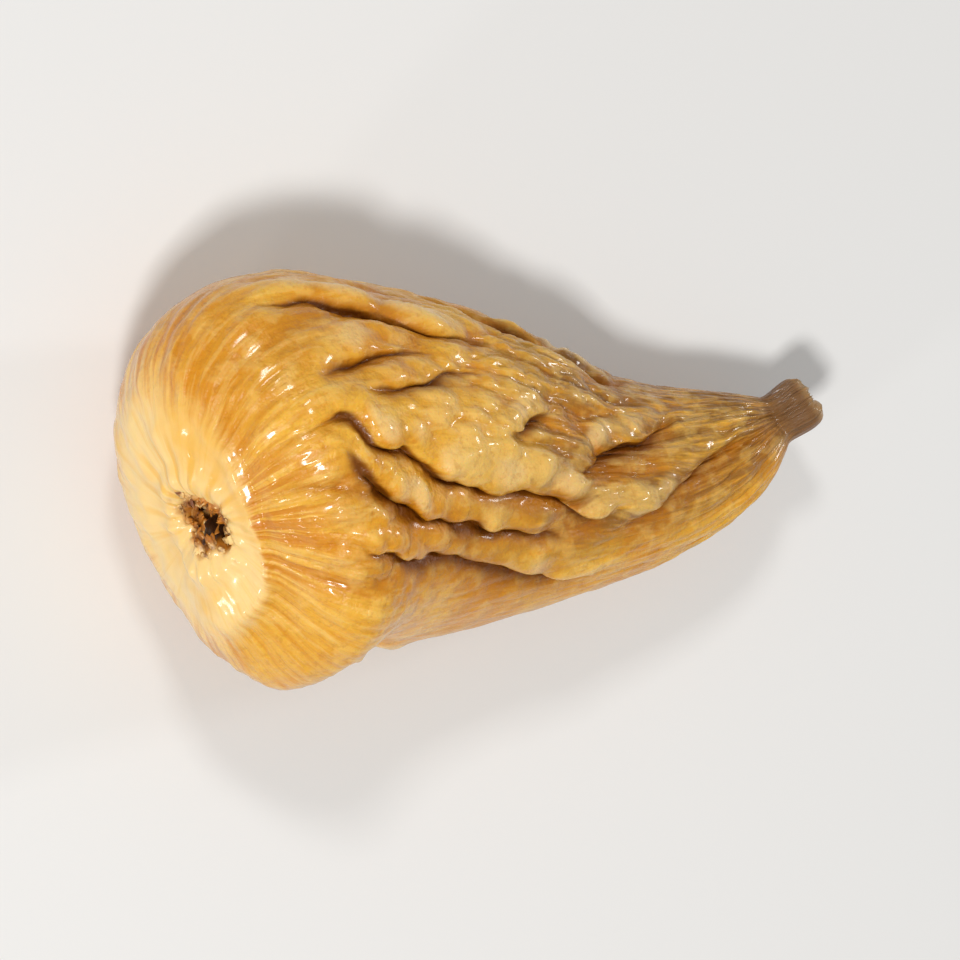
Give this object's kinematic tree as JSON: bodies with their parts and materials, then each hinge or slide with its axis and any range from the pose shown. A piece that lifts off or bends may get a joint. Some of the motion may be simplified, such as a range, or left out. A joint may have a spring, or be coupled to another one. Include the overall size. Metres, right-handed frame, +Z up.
{
  "type": "dried fig",
  "caption": "Dried fig lying on its side: a pear-shaped, folded fruit with its eye at the fat end and the stub of its stalk at the neck.",
  "frame": {"origin": "middle of the fruit's bounding box in plan, at the height of the flat that it rests on", "axes": "+X from the eye end to the stalk end, +Z up from the pressed underside, +Y across"},
  "size_m": [0.0542, 0.0296, 0.023],
  "materials": {
    "fig_skin": "sticky semi-gloss skin, amber to straw yellow with brown creases"
  },
  "bodies": {
    "root": {"fig": "fig_skin"}
  },
  "joints": []
}
